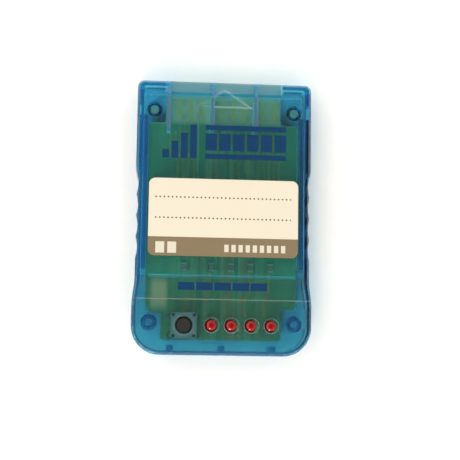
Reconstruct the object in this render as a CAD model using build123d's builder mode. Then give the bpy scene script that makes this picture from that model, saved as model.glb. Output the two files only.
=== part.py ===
from build123d import *
from math import atan2, degrees, radians, tan
import os

# Console memory card: clear two-part housing, circuit board, LEDs, push switch and label.
# Millimetres. X runs across the card, +Y points to the connector end, +Z out of the label face.

os.makedirs("parts", exist_ok=True)

# Housing outline in plan
card_length = 64.0
insert_width = 40.96
waist_step = 0.28
grip_step = 0.29
front_corner = 1.5
rear_corner = 6.6
taper_start = 11.6
taper_end = 9.2
flare_start_from_rear = 18.0
flare_end_from_rear = 11.0

# Finger grip scallops
scallop_count = 4
scallop_pitch = 4.95
scallop_depth = 0.4

# Housing heights and edges
card_thickness = 8.0
parting_height = 4.0
seam_gap = 0.06
face_rim = 0.6
base_rim = 0.5
slope_length = 12.75
slope_drop = 0.5

# Housing walls
face_wall = 1.0
insert_wall = 1.53
grip_wall = 1.05
front_wall = 1.2
cavity_front_corner = 0.6

# Guide rails and tongues of the lower half, which reach up inside the upper half
tongue_thickness = 1.0
tongue_clearance = 0.1
tongue_headroom = 0.4
rail_from_front = 8.0
rail_rear = -12.0
front_tongue = 0.67

# Connector bays
bay_from_side = 6.88
bay_depth = 9.8
bay_rib = 1.07
bay_pitch_share = 0.7551
bay_end_wall = 1.0
bay_screen = 0.6
bay_screen_gap = 0.15
hold_down_rib = 0.9
hold_down_from_front = 11.7

# Side notches that the console catches
notch_from_front = 4.4
notch_length = 3.4
notch_depth = 0.9

# Screw bosses, locating tubes and small mould details
boss_radius = 1.8
boss_from_side = 4.05
boss_from_front = 6.85
base_boss_radius = 2.3
counterbore_radius = 1.65
counterbore_depth = 1.3
tube_radius = 1.85
tube_bore = 0.87
tube_from_side = 4.07
tube_from_rear = 7.4
peg_radius = 0.8
peg_height = 1.5
stop_rib_width = 1.5
stop_rib_reach = 1.25
stop_rib_pitch = 11.8
cross_rib_from_rear = 18.1
cross_rib_half = 17.0
cross_rib_width = 0.6
cross_rib_height = 0.5
fuse_overlap = 0.3

# Insertion arrow engraved in the face
arrow_tip_from_front = 1.6
arrow_height = 4.65
arrow_half = 6.8
arrow_line = 0.45
arrow_depth = 0.2

# Circuit board
board_bottom = 1.8
board_thickness = 1.2
board_from_front = 2.55
board_from_rear = 3.6
board_side_gap = 0.15
tongue_margin = 0.1
shoulder_from_front = 9.0
foot_clearance = 0.82
foot_from_rear = 11.0
board_corner = 0.4
small_round_sides = 8
ledge_depth = 1.0
ledge_length = 6.0
ledge_front_y = 15.0
ledge_rear_y = -6.0
board_post_size = 2.2
board_post_x = 10.5
board_post_from_rear = 13.5

# Edge contacts
contact_fill = 0.654
contact_length = 5.8
contact_thickness = 0.05
contact_pitch_share = 0.2532
contact_set_back = 0.35
contact_corner = 0.3

# LEDs
led_count = 4
led_first_share = 0.1646
led_pitch_share = 0.3277
led_from_rear = 6.88
led_radius = 1.15
led_flange_radius = 1.5
led_flange_height = 1.2
led_sides = 20
led_shoulder_height = 0.75
led_shoulder_taper = 20.0
led_crown_height = 0.45
led_crown_taper = 55.0
led_hole_radius = 1.66
led_recess = 0.05
lead_square = 0.5
lead_spread = 2.0
lead_hole_radius = 0.45
lead_tail = 0.6

# Push switch
switch_x_share = 0.6194
switch_from_rear = 6.8
switch_size = 6.0
switch_corner = 0.5
switch_headroom = 0.15
switch_cover_thickness = 0.2
switch_pocket_radius = 2.5
switch_pocket_depth = 1.7
plunger_radius = 1.75
plunger_flange_radius = 2.2
plunger_flange_height = 0.7
plunger_gap = 0.25
plunger_lift_gap = 0.3
plunger_recess = 0.25
plunger_edge = 0.2
dome_radius = 2.1
dome_sheet = 0.1
dome_crown = 0.7
dome_sides = 16
rivet_radius = 0.35
rivet_inset = 0.6
rivet_clearance = 0.05
rivet_proud = 0.08
leg_width = 0.7
leg_thickness = 0.3
leg_reach = 0.4
leg_row = 4.5
leg_height = 0.7
leg_hole_radius = 0.55

# Chips
chip_standoff = 0.15
chip_draft = 8.0
chip_gap = 1.6
memory_length = 18.0
memory_width = 8.6
memory_height = 2.5
memory_leads_per_side = 14
controller_length = 10.4
controller_width = 7.5
controller_height = 2.3
controller_leads_per_side = 8
chips_left = -15.2
chips_y = -0.6
chip_lead_pitch = 1.27
chip_lead_width = 0.42
chip_lead_sheet = 0.2
chip_lead_reach = 1.4
chip_lead_shoulder = 0.45
chip_lead_drop = 0.2
pin_mark_radius = 0.6
pin_mark_depth = 0.12
pin_mark_inset = 1.7

# Small parts on the board
small_width = 1.25
small_length = 2.0
small_end = 0.35
resistor_height = 0.5
capacitor_height = 0.8
end_wrap = 0.05
resistor_y = -11.4
capacitor_offset = 3.4

# Screws
screw_head_radius = 1.5
screw_head_height = 1.05
screw_radius = 0.95
screw_length = 5.0
screw_fit = 0.05
screw_clearance = 0.15
screw_hole_spare = 0.3
driver_slot_width = 0.5
driver_slot_length = 1.8
driver_slot_depth = 0.55

# Label
label_width = 34.8
label_height = 18.1
label_corner = 1.5
label_x = 0.05
label_y = -0.3
label_thickness = 0.12

# Derived places
front_y = card_length / 2
rear_y = -card_length / 2
insert_half = insert_width / 2
waist_half = insert_half - waist_step
grip_half = insert_half + grip_step
flare_start = rear_y + flare_start_from_rear
flare_end = rear_y + flare_end_from_rear
crease_y = rear_y + slope_length
slope = slope_drop / slope_length
ceiling = card_thickness - face_wall
upper_seam = parting_height + seam_gap / 2
lower_seam = parting_height - seam_gap / 2
cavity_half = insert_half - insert_wall
cavity_grip_half = grip_half - grip_wall
cavity_front = front_y - front_wall
cavity_rear = rear_y + grip_wall
tongue_outer = cavity_half - tongue_clearance
tongue_inner = tongue_outer - tongue_thickness
tongue_top = ceiling - tongue_headroom
front_tongue_outer = cavity_front - tongue_clearance
front_tongue_inner = front_tongue_outer - front_tongue
corner_tongue_end = tongue_outer - cavity_front_corner
bay_half = insert_half - bay_from_side
bay_back = front_y - bay_depth
bay_pitch = bay_half * bay_pitch_share
contact_pitch = bay_pitch * contact_pitch_share
contact_width = contact_pitch * contact_fill
rail_front = front_y - rail_from_front
cross_rib_y = rear_y + cross_rib_from_rear
board_top = board_bottom + board_thickness
boss_seat = board_bottom - board_side_gap
boss_foot = boss_seat + seam_gap
tube_foot = face_wall + seam_gap
board_half = tongue_inner - board_side_gap
board_front = front_y - board_from_front
board_rear = rear_y + board_from_rear
tongue_half = bay_half + tongue_margin
shoulder_y = front_y - shoulder_from_front
foot_y = rear_y + foot_from_rear
board_post_y = rear_y + board_post_from_rear
ledge_ys = (ledge_front_y, ledge_rear_y)
boss_x = insert_half - boss_from_side
boss_y = front_y - boss_from_front
tube_x = grip_half - tube_from_side
tube_y = rear_y + tube_from_rear
foot_half = tube_x - tube_radius - foot_clearance
switch_x = -foot_half * switch_x_share
led_pitch = foot_half * led_pitch_share
led_xs = [led_pitch * k - foot_half * led_first_share for k in range(led_count)]
led_y = rear_y + led_from_rear
switch_y = rear_y + switch_from_rear
scallop_chord = scallop_pitch / 2
scallop_radius = (scallop_chord**2 + scallop_depth**2) / (2 * scallop_depth)


def face_height(y):
    """Height of the outer label face at a place along the card."""
    return card_thickness - slope * max(0.0, crease_y - y)


led_height = face_height(led_y) - led_recess - board_top
led_crown_radius = led_radius - led_shoulder_height * tan(radians(led_shoulder_taper))
switch_rear = switch_y - switch_size / 2
switch_top = face_height(switch_rear) - face_wall - switch_headroom
switch_base_top = switch_top - switch_cover_thickness
switch_pocket_floor = switch_base_top - switch_pocket_depth
plunger_top = face_height(switch_y) - plunger_recess
plunger_flange_top = switch_base_top - plunger_lift_gap
plunger_bottom = plunger_flange_top - plunger_flange_height
lead_end = board_bottom - lead_tail
memory_x = chips_left + memory_length / 2
controller_x = chips_left + memory_length + chip_gap + controller_width / 2 + chip_lead_reach
capacitor_x = chips_left + memory_length + chip_gap / 2
scallop_ys = [scallop_pitch * (k - (scallop_count - 1) / 2) for k in range(scallop_count)]
rib_xs = [-bay_half + bay_rib / 2 + bay_pitch * k for k in range(3)]
bay_starts = [x + bay_rib / 2 for x in rib_xs]
bay_ends = [x - bay_rib / 2 for x in rib_xs[1:]] + [bay_half]
contact_counts = (3, 3, 2)
contact_xs = [
    (start + end) / 2 + contact_pitch * (k - (count - 1) / 2)
    for start, end, count in zip(bay_starts, bay_ends, contact_counts)
    for k in range(count)
]
resistor_xs = [switch_x] + led_xs
switch_leg_xy = [
    (switch_x + sx * (switch_size / 2 + leg_reach - leg_thickness / 2), switch_y + sy * leg_row / 2)
    for sx in (-1, 1)
    for sy in (-1, 1)
]
led_lead_xy = [(x, led_y + s * lead_spread / 2) for x in led_xs for s in (-1, 1)]


def card_plan(half_insert, half_waist, half_grip, y_front, y_rear, r_front, r_rear):
    """Outline of the card seen from above, symmetric about the YZ plane."""
    mid_taper = (taper_start + taper_end) / 2
    mid_flare = (flare_start + flare_end) / 2
    with BuildSketch() as outline:
        with BuildLine():
            Line((0, y_front), (half_insert - r_front, y_front))
            CenterArc((half_insert - r_front, y_front - r_front), r_front, 90, -90)
            if half_waist < half_insert:
                Line((half_insert, y_front - r_front), (half_insert, taper_start))
                mid_x = (half_insert + half_waist) / 2
                inward = TangentArc((half_insert, taper_start), (mid_x, mid_taper), tangent=(0, -1))
                TangentArc((mid_x, mid_taper), (half_waist, taper_end), tangent=inward % 1)
                Line((half_waist, taper_end), (half_waist, flare_start))
            else:
                Line((half_insert, y_front - r_front), (half_waist, flare_start))
            mid_x = (half_waist + half_grip) / 2
            outward = TangentArc((half_waist, flare_start), (mid_x, mid_flare), tangent=(0, -1))
            TangentArc((mid_x, mid_flare), (half_grip, flare_end), tangent=outward % 1)
            Line((half_grip, flare_end), (half_grip, y_rear + r_rear))
            CenterArc((half_grip - r_rear, y_rear + r_rear), r_rear, 0, -90)
            Line((half_grip - r_rear, y_rear), (0, y_rear))
            mirror(about=Plane.YZ)
        make_face()
    return outline.sketch


def slope_wedge(top):
    """Side view of the stock above the sloping grip end, for a face at this height."""
    beyond = rear_y - face_wall
    with BuildSketch() as wedge:
        with BuildLine():
            Polyline(
                (crease_y, top),
                (crease_y, top + card_thickness),
                (beyond, top + card_thickness),
                (beyond, top - slope * (crease_y - beyond)),
                close=True,
            )
        make_face()
    return wedge.sketch


def lead_profile(body_half, mid_height):
    """Side view of one bent chip lead: first value outwards, second value upwards."""
    half_sheet = chip_lead_sheet / 2
    upper = body_half + chip_lead_shoulder
    lower = upper + chip_lead_drop
    tip = body_half + chip_lead_reach
    with BuildSketch() as profile:
        with BuildLine():
            Polyline(
                (body_half, mid_height + half_sheet),
                (upper + half_sheet, mid_height + half_sheet),
                (lower + half_sheet, chip_lead_sheet),
                (tip, chip_lead_sheet),
                (tip, 0),
                (lower - half_sheet, 0),
                (upper - half_sheet, mid_height - half_sheet),
                (body_half, mid_height - half_sheet),
                close=True,
            )
        make_face()
    return profile.sketch


outer_plan = card_plan(insert_half, waist_half, grip_half, front_y, rear_y, front_corner, rear_corner)
cavity_plan = card_plan(
    cavity_half,
    cavity_half,
    cavity_grip_half,
    cavity_front,
    cavity_rear,
    cavity_front_corner,
    rear_corner - grip_wall,
)

# Space inside the upper half, with the same slope as the face
with BuildPart() as upper_space:
    with BuildSketch(Plane.XY.offset(parting_height - fuse_overlap)):
        add(cavity_plan)
    extrude(amount=ceiling - parting_height + fuse_overlap)
    with BuildSketch(Plane.YZ):
        add(slope_wedge(ceiling))
    extrude(amount=2 * grip_half, both=True, mode=Mode.SUBTRACT)

# Upper half of the housing
with BuildPart() as top_shell:
    with BuildSketch(Plane.XY.offset(upper_seam)):
        add(outer_plan)
    extrude(amount=card_thickness - upper_seam)
    with BuildSketch(Plane.YZ):
        add(slope_wedge(card_thickness))
    extrude(amount=2 * grip_half, both=True, mode=Mode.SUBTRACT)
    face_parts = top_shell.faces().filter_by(lambda f: f.normal_at().Z > 0.9)
    rim = face_parts.edges().filter_by(lambda e: abs(e.center().Y - crease_y) > seam_gap)
    chamfer(rim, face_rim)
    add(upper_space.part, mode=Mode.SUBTRACT)
    # Front wall open over each bay, with a thin screen that stands over the front edge of the board
    for start, end in zip(bay_starts, bay_ends):
        with Locations(((start + end) / 2, cavity_front - fuse_overlap, parting_height)):
            Box(
                end - start,
                front_wall + 2 * fuse_overlap,
                ceiling - parting_height,
                align=(Align.CENTER, Align.MIN, Align.MIN),
                mode=Mode.SUBTRACT,
            )
    with Locations((0, board_front, board_top + seam_gap)):
        Box(
            2 * (bay_half - bay_screen_gap),
            bay_screen,
            ceiling - board_top - seam_gap + fuse_overlap,
            align=(Align.CENTER, Align.MAX, Align.MIN),
        )
    # Ribs that hold the board down and reach forward to the front wall, end stops and the cross rib
    with Locations(*[(x, board_front - fuse_overlap, upper_seam) for x in rib_xs]):
        Box(
            hold_down_rib,
            cavity_front - board_front + 2 * fuse_overlap,
            ceiling - upper_seam + fuse_overlap,
            align=(Align.CENTER, Align.MIN, Align.MIN),
        )
    with Locations(*[(x, board_front, board_top + seam_gap) for x in rib_xs]):
        Box(
            hold_down_rib,
            hold_down_from_front - board_from_front,
            ceiling - board_top - seam_gap + fuse_overlap,
            align=(Align.CENTER, Align.MAX, Align.MIN),
        )
    with Locations(*[(k * stop_rib_pitch, cavity_rear - fuse_overlap, upper_seam) for k in (-1, 0, 1)]):
        Box(
            stop_rib_width,
            stop_rib_reach + fuse_overlap,
            ceiling - slope_drop - upper_seam + fuse_overlap,
            align=(Align.CENTER, Align.MIN, Align.MIN),
        )
    with Locations((0, cross_rib_y, ceiling - cross_rib_height)):
        Box(
            2 * cross_rib_half,
            cross_rib_width,
            cross_rib_height + fuse_overlap,
            align=(Align.CENTER, Align.CENTER, Align.MIN),
        )
    # Screw bosses and locating tubes
    with Locations((-boss_x, boss_y, boss_foot), (boss_x, boss_y, boss_foot)):
        Cylinder(
            boss_radius,
            ceiling - boss_foot + fuse_overlap,
            align=(Align.CENTER, Align.CENTER, Align.MIN),
        )
        Cylinder(
            screw_radius + screw_fit,
            counterbore_depth + screw_length + screw_hole_spare - boss_foot,
            align=(Align.CENTER, Align.CENTER, Align.MIN),
            mode=Mode.SUBTRACT,
        )
    with Locations((-tube_x, tube_y, tube_foot), (tube_x, tube_y, tube_foot)):
        Cylinder(
            tube_radius,
            face_height(tube_y) - face_wall - tube_foot + fuse_overlap,
            align=(Align.CENTER, Align.CENTER, Align.MIN),
        )
        Cylinder(
            tube_bore,
            face_height(tube_y) - face_wall - tube_foot - fuse_overlap,
            align=(Align.CENTER, Align.CENTER, Align.MIN),
            mode=Mode.SUBTRACT,
        )
    # LED holes and button hole
    with Locations(*[(x, led_y, face_height(led_y)) for x in led_xs]):
        Cylinder(led_hole_radius, 3 * face_wall, mode=Mode.SUBTRACT)
    with Locations((switch_x, switch_y, face_height(switch_y))):
        Cylinder(plunger_radius + plunger_gap, 3 * face_wall, mode=Mode.SUBTRACT)
    # Insertion arrow
    with BuildSketch(Plane.XY.offset(card_thickness)):
        with BuildLine():
            Polyline(
                (0, front_y - arrow_tip_from_front),
                (arrow_half, front_y - arrow_tip_from_front - arrow_height),
                (-arrow_half, front_y - arrow_tip_from_front - arrow_height),
                close=True,
            )
        make_face()
        offset(amount=-arrow_line, mode=Mode.SUBTRACT)
    extrude(amount=-arrow_depth, mode=Mode.SUBTRACT)
    # Finger grip scallops
    with Locations(
        *[(s * (waist_half - scallop_depth + scallop_radius), y, 0) for s in (-1, 1) for y in scallop_ys]
    ):
        Cylinder(scallop_radius, 3 * card_thickness, mode=Mode.SUBTRACT)
top_shell.part.label = "top_shell"
export_step(top_shell.part, "parts/top_shell.step")

# Lower half of the housing
with BuildPart() as bottom_shell:
    with BuildSketch():
        add(outer_plan)
    extrude(amount=lower_seam)
    chamfer(bottom_shell.faces().sort_by(Axis.Z)[0].edges(), base_rim)
    with BuildSketch(Plane.XY.offset(face_wall)):
        add(cavity_plan)
    extrude(amount=parting_height, mode=Mode.SUBTRACT)
    # Side rails: thick below the seam, a tongue above it
    with Locations(*[(s * (tongue_inner + cavity_half) / 2, rail_rear, face_wall / 2) for s in (-1, 1)]):
        Box(
            cavity_half - tongue_inner,
            rail_front - rail_rear,
            lower_seam - face_wall / 2,
            align=(Align.CENTER, Align.MIN, Align.MIN),
        )
    with Locations(*[(s * (tongue_inner + tongue_outer) / 2, rail_rear, face_wall / 2) for s in (-1, 1)]):
        Box(
            tongue_thickness,
            rail_front - rail_rear,
            tongue_top - face_wall / 2,
            align=(Align.CENTER, Align.MIN, Align.MIN),
        )
    # Front corner blocks on both sides of the bays
    with Locations(*[(s * (bay_half + cavity_half) / 2, front_tongue_inner, face_wall / 2) for s in (-1, 1)]):
        Box(
            cavity_half - bay_half,
            cavity_front - front_tongue_inner + fuse_overlap,
            lower_seam - face_wall / 2,
            align=(Align.CENTER, Align.MIN, Align.MIN),
        )
    corner_tongue_x = (bay_half + corner_tongue_end) / 2
    with Locations(*[(s * corner_tongue_x, front_tongue_inner, face_wall / 2) for s in (-1, 1)]):
        Box(
            corner_tongue_end - bay_half,
            front_tongue,
            tongue_top - face_wall / 2,
            align=(Align.CENTER, Align.MIN, Align.MIN),
        )
    # Connector bays, open to the front and the underside
    for start, end in zip(bay_starts, bay_ends):
        with Locations(((start + end) / 2, bay_back, -face_wall)):
            Box(
                end - start,
                bay_depth + face_wall,
                parting_height + 2 * face_wall,
                align=(Align.CENTER, Align.MIN, Align.MIN),
                mode=Mode.SUBTRACT,
            )
    with Locations(*[(x, bay_back, face_wall / 2) for x in rib_xs]):
        Box(
            bay_rib,
            front_y - front_wall / 2 - bay_back,
            board_bottom - face_wall / 2,
            align=(Align.CENTER, Align.MIN, Align.MIN),
        )
    with Locations(*[(x, front_tongue_inner, face_wall / 2) for x in rib_xs]):
        Box(
            bay_rib,
            front_y - front_wall / 2 - front_tongue_inner,
            lower_seam - face_wall / 2,
            align=(Align.CENTER, Align.MIN, Align.MIN),
        )
    with Locations((0, bay_back, face_wall / 2)):
        Box(
            2 * bay_half,
            bay_end_wall,
            board_bottom - face_wall / 2,
            align=(Align.CENTER, Align.MAX, Align.MIN),
        )
    # Side notches
    with Locations(*[(s * insert_half, front_y - notch_from_front, 0) for s in (-1, 1)]):
        Box(
            2 * notch_depth,
            notch_length,
            2 * parting_height,
            align=(Align.CENTER, Align.MAX, Align.CENTER),
            mode=Mode.SUBTRACT,
        )
    # Screw bosses with counterbores, locating pegs, end stops and board rests
    with Locations((-boss_x, boss_y, 0), (boss_x, boss_y, 0)):
        with Locations((0, 0, face_wall / 2)):
            Cylinder(
                base_boss_radius,
                boss_seat - face_wall / 2,
                align=(Align.CENTER, Align.CENTER, Align.MIN),
            )
        Cylinder(screw_radius + screw_clearance, 3 * card_thickness, mode=Mode.SUBTRACT)
        Cylinder(counterbore_radius, 2 * counterbore_depth, mode=Mode.SUBTRACT)
    with BuildSketch(Plane.XY.offset(face_wall / 2)):
        with Locations((-tube_x, tube_y), (tube_x, tube_y)):
            RegularPolygon(peg_radius, side_count=small_round_sides)
    extrude(amount=peg_height + face_wall / 2)
    with Locations(*[(k * stop_rib_pitch, cavity_rear - fuse_overlap, face_wall / 2) for k in (-1, 0, 1)]):
        Box(
            stop_rib_width,
            stop_rib_reach + fuse_overlap,
            lower_seam - face_wall / 2,
            align=(Align.CENTER, Align.MIN, Align.MIN),
        )
    ledge_x = tongue_inner - ledge_depth / 2
    with Locations(*[(s * ledge_x, y, face_wall / 2) for s in (-1, 1) for y in ledge_ys]):
        Box(
            ledge_depth + fuse_overlap,
            ledge_length,
            board_bottom - face_wall / 2,
            align=(Align.CENTER, Align.CENTER, Align.MIN),
        )
    with Locations(*[(s * board_post_x, board_post_y, face_wall / 2) for s in (-1, 1)]):
        Box(
            board_post_size,
            board_post_size,
            board_bottom - face_wall / 2,
            align=(Align.CENTER, Align.CENTER, Align.MIN),
        )
    with Locations(
        *[(s * (waist_half - scallop_depth + scallop_radius), y, 0) for s in (-1, 1) for y in scallop_ys]
    ):
        Cylinder(scallop_radius, 3 * card_thickness, mode=Mode.SUBTRACT)
bottom_shell.part.label = "bottom_shell"
export_step(bottom_shell.part, "parts/bottom_shell.step")

# Circuit board
with BuildPart() as circuit_board:
    with BuildSketch(Plane.XY.offset(board_bottom)) as board_plan:
        with BuildLine():
            Polyline(
                (0, board_front),
                (tongue_half, board_front),
                (tongue_half, shoulder_y),
                (board_half, shoulder_y),
                (board_half, foot_y),
                (foot_half, foot_y),
                (foot_half, board_rear),
                (0, board_rear),
            )
            mirror(about=Plane.YZ)
        make_face()
        chamfer(board_plan.vertices().filter_by(lambda v: abs(v.X) > board_corner), board_corner)
        with Locations(*led_lead_xy):
            RegularPolygon(lead_hole_radius, side_count=small_round_sides, mode=Mode.SUBTRACT)
        with Locations(*switch_leg_xy):
            RegularPolygon(leg_hole_radius, side_count=small_round_sides, mode=Mode.SUBTRACT)
    extrude(amount=board_thickness)
circuit_board.part.label = "circuit_board"
export_step(circuit_board.part, "parts/circuit_board.step")

# Gold edge contacts on the underside of the board
for number, x in enumerate(contact_xs, start=1):
    with BuildPart() as contact:
        with BuildSketch(Plane.XY.offset(board_bottom)) as pad:
            with Locations((x, board_front - contact_set_back - contact_length / 2)):
                Rectangle(contact_width, contact_length)
            chamfer(pad.vertices(), contact_corner)
        extrude(amount=-contact_thickness)
    contact.part.label = f"contact_{number}"
    export_step(contact.part, f"parts/contact_{number}.step")

# LEDs: lens with flange, and two square leads through the board
for number, x in enumerate(led_xs, start=1):
    with BuildPart() as led_lens:
        with BuildSketch(Plane.XY.offset(board_top)):
            with Locations((x, led_y)):
                RegularPolygon(led_flange_radius, side_count=led_sides, major_radius=False)
        extrude(amount=led_flange_height)
        with BuildSketch(Plane.XY.offset(board_top)):
            with Locations((x, led_y)):
                RegularPolygon(led_radius, side_count=led_sides, major_radius=False)
        extrude(amount=led_height - led_shoulder_height - led_crown_height)
        with BuildSketch(Plane.XY.offset(board_top + led_height - led_shoulder_height - led_crown_height)):
            with Locations((x, led_y)):
                RegularPolygon(led_radius, side_count=led_sides, major_radius=False)
        extrude(amount=led_shoulder_height, taper=led_shoulder_taper)
        with BuildSketch(Plane.XY.offset(board_top + led_height - led_crown_height)):
            with Locations((x, led_y)):
                RegularPolygon(led_crown_radius, side_count=led_sides, major_radius=False)
        extrude(amount=led_crown_height, taper=led_crown_taper)
    led_lens.part.label = f"led_lens_{number}"
    export_step(led_lens.part, f"parts/led_lens_{number}.step")

    with BuildPart() as led_leads:
        with Locations(*[(x, led_y + s * lead_spread / 2, lead_end) for s in (-1, 1)]):
            Box(
                lead_square,
                lead_square,
                board_top - lead_end,
                align=(Align.CENTER, Align.CENTER, Align.MIN),
            )
    led_leads.part.label = f"led_leads_{number}"
    export_step(led_leads.part, f"parts/led_leads_{number}.step")

# Push switch: base with pocket and rivets
rivet_xy = [
    (switch_x + sx * (switch_size / 2 - rivet_inset), switch_y + sy * (switch_size / 2 - rivet_inset))
    for sx in (-1, 1)
    for sy in (-1, 1)
]
with BuildPart() as switch_base:
    with BuildSketch(Plane.XY.offset(board_top)) as base_plan:
        with Locations((switch_x, switch_y)):
            Rectangle(switch_size, switch_size)
        chamfer(base_plan.vertices(), switch_corner)
    extrude(amount=switch_base_top - board_top)
    with Locations((switch_x, switch_y, switch_pocket_floor)):
        Cylinder(
            switch_pocket_radius,
            switch_pocket_depth,
            align=(Align.CENTER, Align.CENTER, Align.MIN),
            mode=Mode.SUBTRACT,
        )
    with BuildSketch(Plane.XY.offset(switch_base_top - fuse_overlap)):
        with Locations(*rivet_xy):
            RegularPolygon(rivet_radius, side_count=small_round_sides)
    extrude(amount=fuse_overlap + switch_cover_thickness + rivet_proud)
switch_base.part.label = "switch_base"
export_step(switch_base.part, "parts/switch_base.step")

# Push switch: steel cover
with BuildPart() as switch_cover:
    with BuildSketch(Plane.XY.offset(switch_base_top)) as cover_plan:
        with Locations((switch_x, switch_y)):
            Rectangle(switch_size, switch_size)
        chamfer(cover_plan.vertices(), switch_corner)
        with Locations((switch_x, switch_y)):
            Circle(plunger_radius + plunger_gap, mode=Mode.SUBTRACT)
        with Locations(*rivet_xy):
            RegularPolygon(rivet_radius + rivet_clearance, side_count=small_round_sides, mode=Mode.SUBTRACT)
    extrude(amount=switch_cover_thickness)
switch_cover.part.label = "switch_cover"
export_step(switch_cover.part, "parts/switch_cover.step")

# Push switch: plunger, the piece that moves
with BuildPart() as switch_plunger:
    with BuildSketch(Plane((switch_x, switch_y, plunger_bottom), x_dir=(1, 0, 0), z_dir=(0, -1, 0))) as stem:
        with BuildLine():
            Polyline(
                (0, 0),
                (plunger_flange_radius, 0),
                (plunger_flange_radius, plunger_flange_height),
                (plunger_radius, plunger_flange_height),
                (plunger_radius, plunger_top - plunger_bottom),
                (0, plunger_top - plunger_bottom),
                close=True,
            )
        make_face()
    revolve(axis=Axis((switch_x, switch_y, 0), (0, 0, 1)))
    chamfer(switch_plunger.faces().sort_by(Axis.Z)[-1].edges(), plunger_edge)
switch_plunger.part.label = "switch_plunger"
export_step(switch_plunger.part, "parts/switch_plunger.step")

# Push switch: snap dome under the plunger
dome_rise = plunger_bottom - switch_pocket_floor
dome_taper = degrees(atan2(dome_radius - dome_crown, dome_rise))
with BuildPart() as switch_dome:
    with BuildSketch(Plane.XY.offset(switch_pocket_floor)):
        with Locations((switch_x, switch_y)):
            RegularPolygon(dome_radius, side_count=dome_sides, major_radius=False)
    extrude(amount=dome_rise, taper=dome_taper)
    with BuildSketch(Plane.XY.offset(switch_pocket_floor - dome_sheet)):
        with Locations((switch_x, switch_y)):
            RegularPolygon(dome_radius, side_count=dome_sides, major_radius=False)
    extrude(amount=dome_rise, taper=dome_taper, mode=Mode.SUBTRACT)
switch_dome.part.label = "switch_dome"
export_step(switch_dome.part, "parts/switch_dome.step")

# Push switch: four bent legs through the board
with BuildPart() as switch_terminals:
    for side in (-1, 1):
        root_x = switch_x + side * switch_size / 2
        tip_x = root_x + side * leg_reach
        inner_x = tip_x - side * leg_thickness
        rows = [switch_y - leg_row / 2, switch_y + leg_row / 2]
        with BuildSketch(*[Plane.XZ.offset(-row) for row in rows]):
            with BuildLine():
                Polyline(
                    (root_x, board_top + leg_height),
                    (tip_x, board_top + leg_height),
                    (tip_x, lead_end),
                    (inner_x, lead_end),
                    (inner_x, board_top + leg_height - leg_thickness),
                    (root_x, board_top + leg_height - leg_thickness),
                    close=True,
                )
            make_face()
        extrude(amount=leg_width / 2, both=True)
switch_terminals.part.label = "switch_terminals"
export_step(switch_terminals.part, "parts/switch_terminals.step")

# Memory chip under the label
chip_seat = board_top + chip_standoff
with BuildPart() as memory_chip:
    with BuildSketch(Plane.XY.offset(chip_seat + memory_height / 2)):
        with Locations((memory_x, chips_y)):
            Rectangle(memory_length, memory_width)
    extrude(amount=memory_height / 2, taper=chip_draft)
    with BuildSketch(Plane.XY.offset(chip_seat + memory_height / 2)):
        with Locations((memory_x, chips_y)):
            Rectangle(memory_length, memory_width)
    extrude(amount=-memory_height / 2, taper=chip_draft)
    mark_x = memory_x - memory_length / 2 + pin_mark_inset
    with BuildSketch(Plane.XY.offset(chip_seat + memory_height)):
        with Locations((mark_x, chips_y - memory_width / 2 + pin_mark_inset)):
            RegularPolygon(pin_mark_radius, side_count=small_round_sides)
    extrude(amount=-pin_mark_depth, mode=Mode.SUBTRACT)
memory_chip.part.label = "memory_chip"
export_step(memory_chip.part, "parts/memory_chip.step")

memory_lead_xs = [
    memory_x + chip_lead_pitch * (k - (memory_leads_per_side - 1) / 2) for k in range(memory_leads_per_side)
]
memory_lead = lead_profile(memory_width / 2, chip_standoff + memory_height / 2)
with BuildPart() as memory_leads:
    with BuildSketch(
        *[Plane((x, chips_y, board_top), x_dir=(0, 1, 0), z_dir=(1, 0, 0)) for x in memory_lead_xs]
    ):
        add(memory_lead)
        mirror(memory_lead, about=Plane.YZ)
    extrude(amount=chip_lead_width / 2, both=True)
memory_leads.part.label = "memory_leads"
export_step(memory_leads.part, "parts/memory_leads.step")

# Controller chip under the label
with BuildPart() as controller_chip:
    with BuildSketch(Plane.XY.offset(chip_seat + controller_height / 2)):
        with Locations((controller_x, chips_y)):
            Rectangle(controller_width, controller_length)
    extrude(amount=controller_height / 2, taper=chip_draft)
    with BuildSketch(Plane.XY.offset(chip_seat + controller_height / 2)):
        with Locations((controller_x, chips_y)):
            Rectangle(controller_width, controller_length)
    extrude(amount=-controller_height / 2, taper=chip_draft)
    mark_x = controller_x - controller_width / 2 + pin_mark_inset
    with BuildSketch(Plane.XY.offset(chip_seat + controller_height)):
        with Locations((mark_x, chips_y + controller_length / 2 - pin_mark_inset)):
            RegularPolygon(pin_mark_radius, side_count=small_round_sides)
    extrude(amount=-pin_mark_depth, mode=Mode.SUBTRACT)
controller_chip.part.label = "controller_chip"
export_step(controller_chip.part, "parts/controller_chip.step")

controller_lead_ys = [
    chips_y + chip_lead_pitch * (k - (controller_leads_per_side - 1) / 2)
    for k in range(controller_leads_per_side)
]
controller_lead = lead_profile(controller_width / 2, chip_standoff + controller_height / 2)
with BuildPart() as controller_leads:
    with BuildSketch(
        *[Plane((controller_x, y, board_top), x_dir=(1, 0, 0), z_dir=(0, -1, 0)) for y in controller_lead_ys]
    ):
        add(controller_lead)
        mirror(controller_lead, about=Plane.YZ)
    extrude(amount=chip_lead_width / 2, both=True)
controller_leads.part.label = "controller_leads"
export_step(controller_leads.part, "parts/controller_leads.step")

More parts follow.
